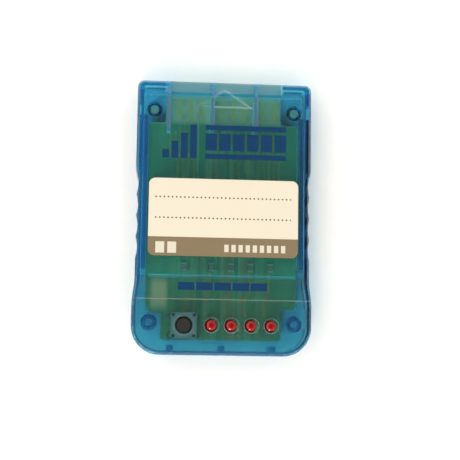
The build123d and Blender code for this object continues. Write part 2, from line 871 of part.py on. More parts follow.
# Resistors in a row below the label: one for each LED and one for the button
core_length = small_length - 2 * small_end
end_offset = (small_length - small_end) / 2
for number, x in enumerate(resistor_xs, start=1):
    with BuildPart() as resistor:
        with Locations((x, resistor_y, board_top)):
            Box(small_width, core_length, resistor_height, align=(Align.CENTER, Align.CENTER, Align.MIN))
    resistor.part.label = f"resistor_{number}"
    export_step(resistor.part, f"parts/resistor_{number}.step")

with BuildPart() as resistor_ends:
    with Locations(
        *[(x, resistor_y + s * end_offset, board_top) for x in resistor_xs for s in (-1, 1)]
    ):
        Box(
            small_width + 2 * end_wrap,
            small_end,
            resistor_height + end_wrap,
            align=(Align.CENTER, Align.CENTER, Align.MIN),
        )
resistor_ends.part.label = "resistor_ends"
export_step(resistor_ends.part, "parts/resistor_ends.step")

# Decoupling capacitors between the chips
capacitor_ys = (chips_y - capacitor_offset, chips_y + capacitor_offset)
for number, y in enumerate(capacitor_ys, start=1):
    with BuildPart() as capacitor:
        with Locations((capacitor_x, y, board_top)):
            Box(small_width, core_length, capacitor_height, align=(Align.CENTER, Align.CENTER, Align.MIN))
    capacitor.part.label = f"capacitor_{number}"
    export_step(capacitor.part, f"parts/capacitor_{number}.step")

with BuildPart() as capacitor_ends:
    with Locations(
        *[(capacitor_x, y + s * end_offset, board_top) for y in capacitor_ys for s in (-1, 1)]
    ):
        Box(
            small_width + 2 * end_wrap,
            small_end,
            capacitor_height + end_wrap,
            align=(Align.CENTER, Align.CENTER, Align.MIN),
        )
capacitor_ends.part.label = "capacitor_ends"
export_step(capacitor_ends.part, "parts/capacitor_ends.step")

# Two housing screws, driven from the underside
screw_head_bottom = counterbore_depth - screw_head_height
with BuildPart() as case_screws:
    for x in (-boss_x, boss_x):
        with BuildSketch(Plane((x, boss_y, counterbore_depth), x_dir=(1, 0, 0), z_dir=(0, -1, 0))):
            with BuildLine():
                Polyline(
                    (0, -screw_head_height),
                    (screw_head_radius, -screw_head_height),
                    (screw_head_radius, 0),
                    (screw_radius, 0),
                    (screw_radius, screw_length),
                    (0, screw_length),
                    close=True,
                )
            make_face()
        revolve(axis=Axis((x, boss_y, 0), (0, 0, 1)))
    with Locations((-boss_x, boss_y, screw_head_bottom), (boss_x, boss_y, screw_head_bottom)):
        Box(driver_slot_width, driver_slot_length, 2 * driver_slot_depth, mode=Mode.SUBTRACT)
        Box(driver_slot_length, driver_slot_width, 2 * driver_slot_depth, mode=Mode.SUBTRACT)
case_screws.part.label = "case_screws"
export_step(case_screws.part, "parts/case_screws.step")

# Paper label
with BuildPart() as label_sheet:
    with BuildSketch(Plane.XY.offset(card_thickness)):
        with Locations((label_x, label_y)):
            RectangleRounded(label_width, label_height, label_corner)
    extrude(amount=label_thickness)
label_sheet.part.label = "label"
export_step(label_sheet.part, "parts/label.step")
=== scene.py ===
import math

import bmesh
import bpy
from mathutils import Matrix, Vector


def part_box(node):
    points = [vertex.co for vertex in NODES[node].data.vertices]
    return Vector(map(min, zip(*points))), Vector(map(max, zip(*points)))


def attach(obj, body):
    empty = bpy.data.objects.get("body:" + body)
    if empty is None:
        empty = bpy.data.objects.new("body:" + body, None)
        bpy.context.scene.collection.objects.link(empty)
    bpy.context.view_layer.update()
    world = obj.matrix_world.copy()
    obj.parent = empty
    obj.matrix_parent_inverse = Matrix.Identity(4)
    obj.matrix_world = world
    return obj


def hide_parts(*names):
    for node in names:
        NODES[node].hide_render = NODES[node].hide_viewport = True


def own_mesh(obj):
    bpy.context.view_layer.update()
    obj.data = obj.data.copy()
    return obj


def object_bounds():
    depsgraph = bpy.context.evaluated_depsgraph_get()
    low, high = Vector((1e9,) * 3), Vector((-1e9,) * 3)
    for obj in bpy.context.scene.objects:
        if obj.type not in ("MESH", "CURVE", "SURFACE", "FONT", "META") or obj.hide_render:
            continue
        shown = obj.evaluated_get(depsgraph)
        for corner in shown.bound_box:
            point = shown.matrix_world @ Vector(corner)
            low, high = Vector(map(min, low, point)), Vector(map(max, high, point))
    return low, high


bl_info = {
    "name": "Clear memory card dresser",
    "version": (1, 0, 0),
    "blender": (4, 5, 0),
    "location": "3D View > Sidebar > Memory card",
    "description": "Dresses the memory card with finishes, board detail, LEDs, print and a studio stage",
    "category": "Object",
}

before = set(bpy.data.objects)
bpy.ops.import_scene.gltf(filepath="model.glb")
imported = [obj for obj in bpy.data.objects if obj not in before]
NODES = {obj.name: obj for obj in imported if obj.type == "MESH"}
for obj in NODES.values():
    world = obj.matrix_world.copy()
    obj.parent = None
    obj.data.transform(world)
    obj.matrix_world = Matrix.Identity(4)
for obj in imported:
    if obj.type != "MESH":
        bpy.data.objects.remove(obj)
CAD_BOX = [list(corner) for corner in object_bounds()]
MM = 0.001

LED_NODES = sorted(name for name in NODES if name.startswith("led_lens"))
CONTACT_NODES = sorted(name for name in NODES if name.startswith("contact_"))
RESISTOR_NODES = sorted(name for name in NODES if name.startswith("resistor_") and name != "resistor_ends")


def linear(code):
    """sRGB hex code as a linear colour with full alpha."""
    parts = [int(code[k : k + 2], 16) / 255 for k in (1, 3, 5)]
    return tuple(c / 12.92 if c <= 0.04045 else ((c + 0.055) / 1.055) ** 2.4 for c in parts) + (1.0,)


def shade(colour, *factors):
    """The colour with each channel times its own factor, or all times one."""
    factors = factors * 3 if len(factors) == 1 else factors
    return tuple(min(1.0, c * f) for c, f in zip(colour[:3], factors)) + (1.0,)


def per_mm(size):
    """Texture scale that gives a pattern of this size in millimetres on Object coordinates."""
    return 1.0 / (size * MM)


def put(tree, kind, inputs=None, **settings):
    """Adds one node, sets it and links or fills its inputs."""
    node = tree.nodes.new(kind)
    for key, value in settings.items():
        setattr(node, key, value)
    for key, value in (inputs or {}).items():
        if isinstance(value, bpy.types.NodeSocket):
            tree.links.new(value, node.inputs[key])
        else:
            node.inputs[key].default_value = value
    return node


def blank_material(name):
    """New node material: (material, node tree, main shader, object coordinates)."""
    material = bpy.data.materials.new(name)
    material.use_nodes = True
    tree = material.node_tree
    place = put(tree, "ShaderNodeTexCoord").outputs["Object"]
    return material, tree, tree.nodes["Principled BSDF"], place


def dress(target, material):
    """Gives one object a single material."""
    target.data.materials.clear()
    target.data.materials.append(material)


def centre_of(node):
    """Middle of a CAD node's box."""
    low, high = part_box(node)
    return (Vector(low) + Vector(high)) / 2


def keep_piece(bm, name, material, smooth=None, instead_of=()):
    """Turns a bmesh into a finished piece that rides on the card."""
    bmesh.ops.remove_doubles(bm, verts=bm.verts, dist=1e-7)
    bmesh.ops.recalc_face_normals(bm, faces=bm.faces)
    mesh = bpy.data.meshes.new(name)
    bm.to_mesh(mesh)
    bm.free()
    piece = bpy.data.objects.new(name, mesh)
    bpy.context.scene.collection.objects.link(piece)
    mesh.materials.append(material)
    if smooth is not None:
        mesh.shade_smooth()
        mesh.set_sharp_from_angle(angle=math.radians(smooth))
    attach(piece, "card")
    if instead_of:
        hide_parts(*instead_of)
    return piece


def add_block(bm, low, high, edge=0.0):
    """Box between two corners, with its edges rounded where a size is given."""
    low, high = Vector(low), Vector(high)
    size = Matrix.Diagonal(high - low).to_4x4()
    made = bmesh.ops.create_cube(bm, size=1.0, matrix=Matrix.Translation((low + high) / 2) @ size)
    if edge > 0:
        edges = list({e for v in made["verts"] for e in v.link_edges})
        bmesh.ops.bevel(
            bm,
            geom=edges,
            offset=edge,
            segments=2,
            profile=0.5,
            affect="EDGES",
            material=-1,
            clamp_overlap=True,
        )


def add_turned(bm, profile, centre, steps=32):
    """Turns a line of (radius, height) points about a vertical axis."""
    verts = [bm.verts.new((centre[0] + r, centre[1], centre[2] + z)) for r, z in profile]
    edges = [bm.edges.new(pair) for pair in zip(verts, verts[1:])]
    bmesh.ops.spin(
        bm, geom=verts + edges, cent=centre, axis=(0, 0, 1), angle=2 * math.pi, steps=steps, use_merge=True
    )


def add_strip(bm, points, width, low, high):
    """Flat strip of even width along a line of points: a low wall raised on the line, then thickened."""
    verts = [bm.verts.new((x, y, low)) for x, y in points]
    edges = [bm.edges.new(pair) for pair in zip(verts, verts[1:])]
    wall = bmesh.ops.extrude_edge_only(bm, edges=edges)["geom"]
    raised = [g for g in wall if isinstance(g, bmesh.types.BMVert)]
    bmesh.ops.translate(bm, verts=raised, vec=(0, 0, high - low))
    faces = [g for g in wall if isinstance(g, bmesh.types.BMFace)]
    bm.normal_update()
    bmesh.ops.solidify(bm, geom=faces, thickness=width)


class CardColours(bpy.types.PropertyGroup):
    """Colours that a user would change."""

    shell_depth: bpy.props.FloatVectorProperty(
        name="Shell depth colour",
        description="Share of light that the clear plastic lets through, before its strength",
        subtype="COLOR",
        size=4,
        min=0,
        max=1,
        default=linear("#00e3f2"),
    )
    board_green: bpy.props.FloatVectorProperty(
        name="Board green",
        description="Solder mask over bare laminate",
        subtype="COLOR",
        size=4,
        min=0,
        max=1,
        default=linear("#559468"),
    )
    board_bare: bpy.props.FloatVectorProperty(
        name="Bare laminate",
        description="Uncoated tongue of the board",
        subtype="COLOR",
        size=4,
        min=0,
        max=1,
        default=linear("#cdb48c"),
    )
    ink: bpy.props.FloatVectorProperty(
        name="Print ink",
        description="Navy ink printed on the face",
        subtype="COLOR",
        size=4,
        min=0,
        max=1,
        default=linear("#0d3358"),
    )
    paper: bpy.props.FloatVectorProperty(
        name="Label paper",
        description="Cream paper of the label",
        subtype="COLOR",
        size=4,
        min=0,
        max=1,
        default=linear("#ddd6c4"),
    )
    band: bpy.props.FloatVectorProperty(
        name="Label band",
        description="Darker band along the lower edge of the label",
        subtype="COLOR",
        size=4,
        min=0,
        max=1,
        default=linear("#7a6a50"),
    )


class CardSizes(bpy.types.PropertyGroup):
    """Sizes that a user would change."""

    absorption: bpy.props.FloatProperty(
        name="Shell tint",
        description="Strength of the blue tint of the clear plastic, per metre",
        default=700.0,
        min=0.0,
    )
    moulded_edge: bpy.props.FloatProperty(
        name="Moulded edge",
        description="Rounding of the housing's edges",
        subtype="DISTANCE",
        unit="LENGTH",
        default=0.12 * MM,
        min=0.0,
    )
    trace: bpy.props.FloatProperty(
        name="Trace width",
        description="Width of a signal trace on the board",
        subtype="DISTANCE",
        unit="LENGTH",
        default=0.45 * MM,
        min=0.0,
    )
    copper: bpy.props.FloatProperty(
        name="Copper height",
        description="Height of copper above the board, under its coat",
        subtype="DISTANCE",
        unit="LENGTH",
        default=0.035 * MM,
        min=0.0,
    )
    ink_film: bpy.props.FloatProperty(
        name="Ink film",
        description="Height of the print above the face",
        subtype="DISTANCE",
        unit="LENGTH",
        default=0.02 * MM,
        min=0.0,
    )


def clear_polycarbonate(depth_colour, density, frosted, rings, grip_y):
    """Polycarbonate, clear blue, moulded: polished and water-clear, bluer the deeper one looks into it.

    frosted: boxes (middle, reach, strength, tint) in millimetres of matt skin: some left by the mould, some
    painted pale as highlights and one painted grey as shade.
    rings: round matt marks (x, y, radius, half width, height, reach, strength) in millimetres, those at the
    rims of the holes also painted highlights.
    grip_y: where the grained face of the grip end begins.
    """
    material, tree, shader, place = blank_material("polycarbonate_clear_blue_moulded")
    split = put(tree, "ShaderNodeSeparateXYZ", {"Vector": place})
    # Faint flow marks of the moulding, about 6 mm long, bend reflections and cloud the plastic a little
    flow = put(tree, "ShaderNodeTexNoise", {"Vector": place, "Scale": per_mm(6.0), "Detail": 2.0})
    bump = put(
        tree,
        "ShaderNodeBump",
        {"Height": flow.outputs["Fac"], "Strength": 0.04, "Distance": 0.1 * MM},
    )
    tree.links.new(bump.outputs["Normal"], shader.inputs["Normal"])
    skin = put(
        tree,
        "ShaderNodeMix",
        {0: flow.outputs["Fac"], 6: linear("#f3fafc"), 7: linear("#ffffff")},
        data_type="RGBA",
    ).outputs[2]
    # Each mark is where its spans (value, middle, reach) overlap, and a box also tints the skin
    marks = []
    for middle, reach, strength, tint in frosted:
        marks.append((tuple(zip(split.outputs, middle, reach)), strength, tint))
    flat = put(tree, "ShaderNodeVectorMath", {0: place, 1: (1, 1, 0)}, operation="MULTIPLY")
    for x, y, radius, half, height, reach, strength in rings:
        away = put(
            tree,
            "ShaderNodeVectorMath",
            {0: flat.outputs["Vector"], 1: (x * MM, y * MM, 0)},
            operation="DISTANCE",
        )
        spans = ((away.outputs["Value"], radius, half), (split.outputs["Z"], height, reach))
        marks.append((spans, strength, None))
    frost = 0.0
    for spans, strength, tint in marks:
        inside = 1.0
        for value, middle, reach in spans:
            near = put(
                tree, "ShaderNodeMath", {0: value, 1: middle * MM, 2: reach * MM}, operation="COMPARE"
            )
            inside = put(
                tree, "ShaderNodeMath", {0: near.outputs["Value"], 1: inside}, operation="MULTIPLY"
            ).outputs["Value"]
        if tint:
            skin = put(
                tree, "ShaderNodeMix", {0: inside, 6: skin, 7: linear(tint)}, data_type="RGBA"
            ).outputs[2]
        weighed = put(tree, "ShaderNodeMath", {0: inside, 1: strength}, operation="MULTIPLY")
        frost = put(
            tree, "ShaderNodeMath", {0: weighed.outputs["Value"], 1: frost}, operation="MAXIMUM"
        ).outputs["Value"]
    clear = put(tree, "ShaderNodeMapRange", {"Value": frost, "To Min": 0.995, "To Max": 0.3})
    tree.links.new(clear.outputs["Result"], shader.inputs["Transmission Weight"])
    # The face of the grip end has a fine grain that blurs what lies below it, and a grey-brown tint that
    # darkens and greys what is seen through it
    grain, face_level = 0.3, 7.3 * MM
    behind = put(tree, "ShaderNodeMath", {0: split.outputs["Y"], 1: grip_y}, operation="LESS_THAN")
    above = put(tree, "ShaderNodeMath", {0: split.outputs["Z"], 1: face_level}, operation="GREATER_THAN")
    grip = put(
        tree, "ShaderNodeMath", {0: behind.outputs["Value"], 1: above.outputs["Value"]}, operation="MULTIPLY"
    ).outputs["Value"]
    grained = put(tree, "ShaderNodeMath", {0: grip, 1: grain}, operation="MULTIPLY")
    matt = put(tree, "ShaderNodeMath", {0: grained.outputs["Value"], 1: frost}, operation="MAXIMUM")
    rough = put(tree, "ShaderNodeMapRange", {"Value": matt.outputs["Value"], "To Min": 0.05, "To Max": 0.75})
    tree.links.new(rough.outputs["Result"], shader.inputs["Roughness"])
    grip_tinted = put(tree, "ShaderNodeMix", {0: grip, 6: skin, 7: linear("#d2c6c0")}, data_type="RGBA")
    tree.links.new(grip_tinted.outputs[2], shader.inputs["Base Color"])
    shader.inputs["IOR"].default_value = 1.58
    # Light that only casts shadow passes, so what is inside the shell is lit
    rays = put(tree, "ShaderNodeLightPath")
    thin = put(tree, "ShaderNodeBsdfTransparent", {"Color": linear("#fafcfc")})
    surface = put(
        tree,
        "ShaderNodeMixShader",
        {0: rays.outputs["Is Shadow Ray"], 1: shader.outputs["BSDF"], 2: thin.outputs["BSDF"]},
    )
    depth = put(tree, "ShaderNodeVolumeAbsorption", {"Color": depth_colour, "Density": density})
    out = tree.nodes["Material Output"]
    tree.links.new(surface.outputs["Shader"], out.inputs["Surface"])
    tree.links.new(depth.outputs["Volume"], out.inputs["Volume"])
    return material


def coated_laminate(mask, bare, edge_y):
    """Glass-fibre laminate, coated green: a wet-looking coat over copper, bare and tan at the tongue."""
    material, tree, shader, place = blank_material("glass_fibre_laminate_green_coated")
    split = put(tree, "ShaderNodeSeparateXYZ", {"Vector": place})
    # The coat ends over about 1 mm
    coat_end = 0.6 * MM
    tongue = put(
        tree,
        "ShaderNodeMapRange",
        {"Value": split.outputs["Y"], "From Min": edge_y - coat_end, "From Max": edge_y + coat_end},
    )
    # Weave of the glass cloth: real threads lie about 0.6 mm apart, drawn 3.8 mm apart so that they show.
    # A wave texture makes 20 / 2 pi bands to a unit of its scale.
    spacing, bands = 3.77, 20 / (2 * math.pi)
    threads = []
    for run in "XY":
        wave = put(
            tree,
            "ShaderNodeTexWave",
            {"Vector": place, "Scale": per_mm(spacing * bands), "Distortion": 0.6},
            bands_direction=run,
        )
        threads.append(wave.outputs["Fac"])
    weave = put(tree, "ShaderNodeMath", {0: threads[0], 1: threads[1]}, operation="MULTIPLY")
    # The coat's thickness varies over about 7 mm
    patch = put(tree, "ShaderNodeTexNoise", {"Vector": place, "Scale": per_mm(7.0), "Detail": 3.0})
    colour = put(
        tree, "ShaderNodeMix", {0: patch.outputs["Fac"], 6: shade(mask, 0.75), 7: mask}, data_type="RGBA"
    ).outputs[2]
    # Copper lies mostly within 7 mm of the middle and is faint past 12 mm
    from_middle = put(tree, "ShaderNodeMath", {0: split.outputs["X"]}, operation="ABSOLUTE")
    middle = put(
        tree,
        "ShaderNodeMapRange",
        {
            "Value": from_middle.outputs["Value"],
            "From Min": 7.0 * MM,
            "From Max": 12.0 * MM,
            "To Min": 1.0,
            "To Max": 0.15,
        },
    )
    # Copper lanes under the coat, 1 to 2 mm wide: tan where wide, paler green where thin
    lane_length = 25.0
    for wide, start, tone in ((1.7, 0.0, "#a58a5c"), (0.9, 7.0, "#8fae7c")):
        lanes = put(
            tree,
            "ShaderNodeMapping",
            {
                "Vector": place,
                "Location": (start, start, 0),
                "Scale": (per_mm(wide), per_mm(lane_length), per_mm(lane_length)),
            },
        )
        lane = put(
            tree,
            "ShaderNodeTexNoise",
            {"Vector": lanes.outputs["Vector"], "Scale": 1.0, "Detail": 1.0},
        )
        share = put(
            tree,
            "ShaderNodeMapRange",
            {"Value": lane.outputs["Fac"], "From Min": 0.48, "From Max": 0.66, "To Max": 0.75},
        )
        amid = put(
            tree,
            "ShaderNodeMath",
            {0: share.outputs["Result"], 1: middle.outputs["Result"]},
            operation="MULTIPLY",
        )
        colour = put(
            tree, "ShaderNodeMix", {0: amid.outputs["Value"], 6: colour, 7: linear(tone)}, data_type="RGBA"
        ).outputs[2]
    laminate = put(
        tree, "ShaderNodeMix", {0: weave.outputs["Value"], 6: bare, 7: shade(bare, 0.8)}, data_type="RGBA"
    )
    whole = put(
        tree,
        "ShaderNodeMix",
        {0: tongue.outputs["Result"], 6: colour, 7: laminate.outputs[2]},
        data_type="RGBA",
    )
    bump = put(
        tree,
        "ShaderNodeBump",
        {"Height": weave.outputs["Value"], "Strength": 0.15, "Distance": 0.02 * MM},
    )
    tree.links.new(whole.outputs[2], shader.inputs["Base Color"])
    tree.links.new(bump.outputs["Normal"], shader.inputs["Normal"])
    shader.inputs["Roughness"].default_value = 0.35
    shader.inputs["IOR"].default_value = 1.52
    return material


def coated_pour(mask, middle, half):
    """Copper pour, coated green: a soft tan patch that sinks into the board's green at its edges."""
    material, tree, shader, place = blank_material("copper_pour_coated")
    split = put(tree, "ShaderNodeSeparateXYZ", {"Vector": place})
    # The coat's thickness drifts over about 3 mm, and the coat pools at the edges of the copper
    drift = put(tree, "ShaderNodeTexNoise", {"Vector": place, "Scale": per_mm(3.0), "Detail": 2.0})
    share = put(
        tree, "ShaderNodeMapRange", {"Value": drift.outputs["Fac"], "To Min": 0.65, "To Max": 1.15}
    ).outputs["Result"]
    for axis, centre, reach in zip("XY", middle, half):
        offset = put(tree, "ShaderNodeMath", {0: split.outputs[axis], 1: centre}, operation="SUBTRACT")
        away = put(tree, "ShaderNodeMath", {0: offset.outputs["Value"]}, operation="ABSOLUTE")
        fade = put(
            tree,
            "ShaderNodeMapRange",
            {
                "Value": away.outputs["Value"],
                "From Min": reach * 0.4,
                "From Max": reach,
                "To Min": 1.0,
                "To Max": 0.0,
            },
            interpolation_type="SMOOTHSTEP",
        )
        share = put(
            tree,
            "ShaderNodeMath",
            {0: share, 1: fade.outputs["Result"]},
            operation="MULTIPLY",
            use_clamp=True,
        ).outputs["Value"]
    tone = put(
        tree, "ShaderNodeMix", {0: share, 6: shade(mask, 0.87), 7: linear("#f8bc8a")}, data_type="RGBA"
    )
    tree.links.new(tone.outputs[2], shader.inputs["Base Color"])
    shader.inputs["Roughness"].default_value = 0.35
    shader.inputs["IOR"].default_value = 1.52
    return material


def grained_finish(name, light, dark, grain, roughness, metallic=0.0, bump_depth=0.01, ior=1.5):
    """One finish in two tones mixed by grain of a size in millimetres, with a matching fine bump."""
    material, tree, shader, place = blank_material(name)
    speck = put(
        tree, "ShaderNodeTexNoise", {"Vector": place, "Scale": per_mm(grain), "Detail": 4.0, "Roughness": 0.6}
    )
    tone = put(
        tree, "ShaderNodeMix", {0: speck.outputs["Fac"], 6: linear(dark), 7: linear(light)}, data_type="RGBA"
    )
    bump = put(
        tree, "ShaderNodeBump", {"Height": speck.outputs["Fac"], "Strength": 0.3, "Distance": bump_depth * MM}
    )
    tree.links.new(tone.outputs[2], shader.inputs["Base Color"])
    tree.links.new(bump.outputs["Normal"], shader.inputs["Normal"])
    shader.inputs["Roughness"].default_value = roughness
    shader.inputs["Metallic"].default_value = metallic
    if not metallic:
        shader.inputs["IOR"].default_value = ior
    return material


def red_epoxy():
    """Epoxy, clear red, cast in a polished mould: deep red with a small sharp glint."""
    material, tree, shader, place = blank_material("epoxy_clear_red_cast")
    cloud = put(tree, "ShaderNodeTexNoise", {"Vector": place, "Scale": per_mm(0.8), "Detail": 2.0})
    tone = put(
        tree,
        "ShaderNodeMix",
        {0: cloud.outputs["Fac"], 6: linear("#8c0507"), 7: linear("#b80a0c")},
        data_type="RGBA",
    )
    tree.links.new(tone.outputs[2], shader.inputs["Base Color"])
    shader.inputs["Roughness"].default_value = 0.08
    shader.inputs["IOR"].default_value = 1.53
    shader.inputs["Specular IOR Level"].default_value = 0.3
    shader.inputs["Transmission Weight"].default_value = 0.3
    return material


def printed_paper(paper, band):
    """Coated paper, matt, printed: cream, with two dotted lines and a darker band that holds pale blocks."""
    material, tree, shader, place = blank_material("coated_paper_matt_printed")
    split = put(tree, "ShaderNodeSeparateXYZ", {"Vector": place})
    across, along = split.outputs["X"], split.outputs["Y"]
    # Paper fibre, drawn at 0.5 mm so that it shows, and a warm cast that drifts over 12 mm
    fibre = put(
        tree, "ShaderNodeTexNoise", {"Vector": place, "Scale": per_mm(0.5), "Detail": 5.0, "Roughness": 0.7}
    )
    cloud = put(tree, "ShaderNodeTexNoise", {"Vector": place, "Scale": per_mm(12.0), "Detail": 2.0})
    cream = put(
        tree,
        "ShaderNodeMix",
        {0: cloud.outputs["Fac"], 6: paper, 7: shade(paper, 0.97, 0.95, 0.9)},
        data_type="RGBA",
    ).outputs[2]
    # Dotted lines: a round dot every 0.65 mm on the real label, drawn every 0.95 mm so that they show
    pitch, dot_radius = 0.95, 0.19 * MM
    line_heights, line_middle, line_half = (4.35, -0.485), -0.15 * MM, 15.9 * MM
    beat = put(tree, "ShaderNodeMath", {0: across, 1: per_mm(pitch)}, operation="MULTIPLY")
    share = put(tree, "ShaderNodeMath", {0: beat.outputs["Value"]}, operation="FRACT")
    swing = put(
        tree,
        "ShaderNodeMath",
        {0: share.outputs["Value"], 1: pitch * MM, 2: -pitch / 2 * MM},
        operation="MULTIPLY_ADD",
    )
    ruled = 0.0
    for height in line_heights:
        rise = put(tree, "ShaderNodeMath", {0: along, 1: height * MM}, operation="SUBTRACT")
        spot = put(tree, "ShaderNodeCombineXYZ", {"X": swing.outputs["Value"], "Y": rise.outputs["Value"]})
        away = put(tree, "ShaderNodeVectorMath", {0: spot.outputs["Vector"]}, operation="LENGTH")
        dot = put(tree, "ShaderNodeMath", {0: away.outputs["Value"], 1: dot_radius}, operation="LESS_THAN")
        ruled = put(
            tree, "ShaderNodeMath", {0: dot.outputs["Value"], 1: ruled}, operation="MAXIMUM"
        ).outputs["Value"]
    reach = put(tree, "ShaderNodeMath", {0: across, 1: line_middle, 2: line_half}, operation="COMPARE")
    dots = put(tree, "ShaderNodeMath", {0: ruled, 1: reach.outputs["Value"]}, operation="MULTIPLY")
    lined = put(
        tree,
        "ShaderNodeMix",
        {0: dots.outputs["Value"], 6: cream, 7: linear("#332e28")},
        data_type="RGBA",
    )
    tinted = put(
        tree, "ShaderNodeMix", {0: fibre.outputs["Fac"], 6: band, 7: shade(band, 1.15)}, data_type="RGBA"
    ).outputs[2]
    # Pale blocks left bare in the band: (middle, half length, half height, step, filled share of a step)
    band_edge, edge_blur, row_height = -5.0 * MM, 0.1 * MM, -7.4
    for middle, half, tall, step, filled in ((-13.2, 2.4, 1.3, 2.75, 0.74), (7.4, 7.09, 0.85, 1.65, 0.6)):
        start = (middle - half) * MM
        from_start = put(tree, "ShaderNodeMath", {0: across, 1: start}, operation="SUBTRACT")
        count = put(
            tree, "ShaderNodeMath", {0: from_start.outputs["Value"], 1: per_mm(step)}, operation="MULTIPLY"
        )
        part = put(tree, "ShaderNodeMath", {0: count.outputs["Value"]}, operation="FRACT")
        block = put(
            tree, "ShaderNodeMath", {0: part.outputs["Value"], 1: filled}, operation="LESS_THAN"
        ).outputs["Value"]
        for value, centre, extent in ((across, middle, half), (along, row_height, tall)):
            near = put(
                tree, "ShaderNodeMath", {0: value, 1: centre * MM, 2: extent * MM}, operation="COMPARE"
            )
            block = put(
                tree, "ShaderNodeMath", {0: block, 1: near.outputs["Value"]}, operation="MULTIPLY"
            ).outputs["Value"]
        tinted = put(
            tree, "ShaderNodeMix", {0: block, 6: tinted, 7: shade(paper, 0.9)}, data_type="RGBA"
        ).outputs[2]
    strip = put(
        tree,
        "ShaderNodeMapRange",
        {
            "Value": along,
            "From Min": band_edge,
            "From Max": band_edge + edge_blur,
            "To Min": 1.0,
            "To Max": 0.0,
        },
    )
    colour = put(
        tree, "ShaderNodeMix", {0: strip.outputs["Result"], 6: lined.outputs[2], 7: tinted}, data_type="RGBA"
    )
    bump = put(
        tree,
        "ShaderNodeBump",
        {"Height": fibre.outputs["Fac"], "Strength": 0.2, "Distance": 0.01 * MM},
    )
    tree.links.new(colour.outputs[2], shader.inputs["Base Color"])
    tree.links.new(bump.outputs["Normal"], shader.inputs["Normal"])
    shader.inputs["Roughness"].default_value = 0.62
    shader.inputs["IOR"].default_value = 1.45
    return material


def navy_ink(ink):
    """Pad-print ink, navy: a thin dull film, nearly even, with weak spots about 1.5 mm across."""
    material, tree, shader, place = blank_material("pad_print_ink_navy")
    weak = put(tree, "ShaderNodeTexNoise", {"Vector": place, "Scale": per_mm(1.5), "Detail": 3.0})
    tone = put(tree, "ShaderNodeMix", {0: weak.outputs["Fac"], 6: ink, 7: shade(ink, 1.3)}, data_type="RGBA")
    tree.links.new(tone.outputs[2], shader.inputs["Base Color"])
    shader.inputs["Roughness"].default_value = 0.35
    shader.inputs["IOR"].default_value = 1.5
    shader.inputs["Specular IOR Level"].default_value = 0.25
    return material


class CARD_OT_shell(bpy.types.Operator):
    """Dress both halves of the clear housing"""

    bl_idname = "card.shell"
    bl_label = "Clear housing"

    def execute(self, context):
        rear = CAD_BOX[0][1] / MM
        crease_y, rib_y = rear + 12.75, rear + 18.1
        white, cream, grey, olive = "#f3fafc", "#efe9e0", "#9a9a9a", "#a3a68c"
        # Matt skin, as boxes (middle, reach, strength, tint) in millimetres; some paint highlights and shade
        frosted = [
            # The crease across the face, and the cross rib below it, as thin matt lines painted pale for the
            # highlights along them
            ((0, crease_y, 8.0), (30, 0.14, 0.3), 0.22, white),
            ((0, rib_y, 6.7), (30, 0.34, 0.28), 0.22, white),
            # The lit side of the arrow's floor, painted pale as the highlight its engraved lines catch
            ((2.0, 28.0, 7.8), (4.9, 5.0, 0.05), 0.16, white),
            # The ribs between the bays, and the strip over the bays in two tones; the front one is grey as
            # painted shade of the shadowed bays below
            ((0, 26.1, 5.0), (14.0, 5.9, 1.95), 0.5, white),
            ((0.2, 30.8, 7.0), (13.0, 1.2, 0.1), 0.6, grey),
            ((0.2, 28.65, 7.0), (13.0, 0.95, 0.1), 0.5, olive),
            # The corners of the front wall
            ((-17.0, 31.2, 4.0), (3.6, 0.85, 3.9), 0.2, white),
            ((17.0, 31.2, 4.0), (3.6, 0.85, 3.9), 0.2, white),
        ]
        # Faint sink marks on the face, over the ribs between the bays
        for x in (-13.07, -2.8, 7.48):
            frosted.append(((x, 26.0, 8.0), (0.42, 5.6, 0.1), 0.1, cream))
        # Round marks (x, y, radius, half width, height, reach, strength): first the rims of the face's holes,
        # matt where cut and painted pale as the highlight along their edges
        rings = []
        rims = [(led, 1.74, 0.12) for led in LED_NODES] + [("switch_plunger", 2.35, 0.1)]
        for name, radius, strength in rims:
            spot = centre_of(name) / MM
            rings.append((spot.x, spot.y, radius, 0.1, 7.3, 0.9, strength))
        for side in (-1, 1):
            # Marks of the mould's ejector pins, then the dull bores that the screws have cut
            rings.append((side * 15.1, -9.9, 2.2, 0.06, 7.0, 0.1, 0.1))
            rings.append((side * 16.6, 28.6, 0.85, 0.09, 7.0, 0.1, 0.16))
            rings.append((side * 16.43, 25.15, 0.6, 0.62, 4.4, 2.6, 0.12))
        plastic = clear_polycarbonate(
            context.scene.card_colours.shell_depth,
            context.scene.card_sizes.absorption,
            frosted,
            rings,
            rib_y * MM,
        )
        for name in ("top_shell", "bottom_shell"):
            dress(NODES[name], plastic)
            # Moulded edges are never sharp: each one gets a small round that catches the light
            NODES[name].modifiers.new("join", "WELD").merge_threshold = 1e-6
            flat = NODES[name].modifiers.new("plain", "DECIMATE")
            flat.decimate_type, flat.angle_limit = "DISSOLVE", math.radians(1.0)
            round_edge = NODES[name].modifiers.new("round", "BEVEL")
            round_edge.width, round_edge.segments = context.scene.card_sizes.moulded_edge, 2
            round_edge.limit_method, round_edge.angle_limit = "ANGLE", math.radians(35)
            round_edge.harden_normals = True
        return {"FINISHED"}


